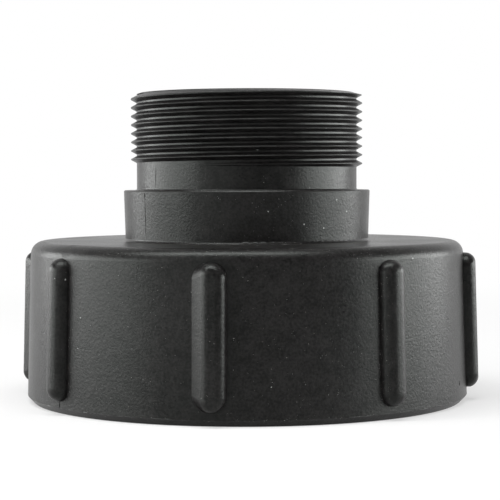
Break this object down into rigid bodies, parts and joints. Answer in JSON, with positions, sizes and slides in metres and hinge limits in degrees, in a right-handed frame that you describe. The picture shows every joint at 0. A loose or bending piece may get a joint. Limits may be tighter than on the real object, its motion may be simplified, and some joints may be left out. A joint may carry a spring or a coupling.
{
  "type": "container tap adapter",
  "caption": "Threaded adapter: a wide ribbed socket screws onto a container's outlet valve and a narrower neck carries a male pipe thread.",
  "frame": {"origin": "centre of the socket's mouth, on the plane of its bottom rim", "axes": "+Z along the common axis of both threads, from the socket's mouth towards the outlet; -Y faces the camera"},
  "size_m": [0.118, 0.118, 0.0785],
  "materials": {
    "adapter_body": "as-moulded dark grey polypropylene with a soft sheen",
    "sealing_gasket": "black sealing rubber"
  },
  "bodies": {
    "root": {"adapter_body": "adapter_body", "sealing_gasket": "sealing_gasket"}
  },
  "joints": []
}
